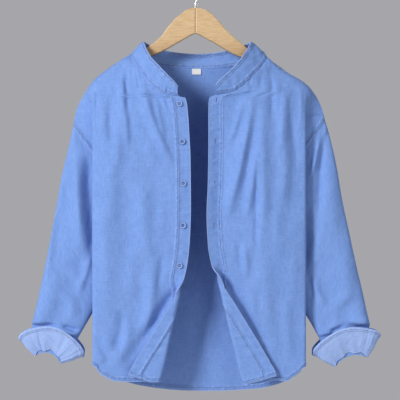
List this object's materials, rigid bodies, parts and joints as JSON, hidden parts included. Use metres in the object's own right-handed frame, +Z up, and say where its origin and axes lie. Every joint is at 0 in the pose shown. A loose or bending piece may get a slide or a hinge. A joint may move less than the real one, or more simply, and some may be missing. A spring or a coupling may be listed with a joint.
{
  "type": "mandarin collar shirt on a hanger",
  "caption": "Loose long-sleeved shirt with a band collar, open front, turned corners and turned-back cuffs, hanging on a wooden hanger with a wire hook.",
  "frame": {"origin": "inside top of the hanger's hook, where the rod carries it", "axes": "+Z up, -Y towards the viewer of the shirt's front, +X to that viewer's right"},
  "size_m": [0.8128, 0.103, 0.9199],
  "materials": {
    "shirt_cloth": "plain woven cotton and linen, piece dyed, matt",
    "buttons": "cast polyester, satin",
    "label_tape": "woven satin tape, blank",
    "hanger_wood": "planed beech, clear lacquer",
    "hook_metal": "nickel-plated steel wire"
  },
  "bodies": {
    "root": {"back": "shirt_cloth", "front_left": "shirt_cloth", "front_right": "shirt_cloth", "placket_left": "shirt_cloth", "placket_right": "shirt_cloth", "collar": "shirt_cloth", "sleeve_left": "shirt_cloth", "sleeve_right": "shirt_cloth", "cuff_left": "shirt_cloth", "cuff_right": "shirt_cloth", "button_1": "buttons", "button_2": "buttons", "button_3": "buttons", "button_4": "buttons", "button_5": "buttons", "button_6": "buttons", "neck_label": "label_tape", "hanger_left": "hanger_wood", "hanger_right": "hanger_wood", "hanger_ferrule": "hook_metal", "hanger_hook": "hook_metal"}
  },
  "joints": []
}
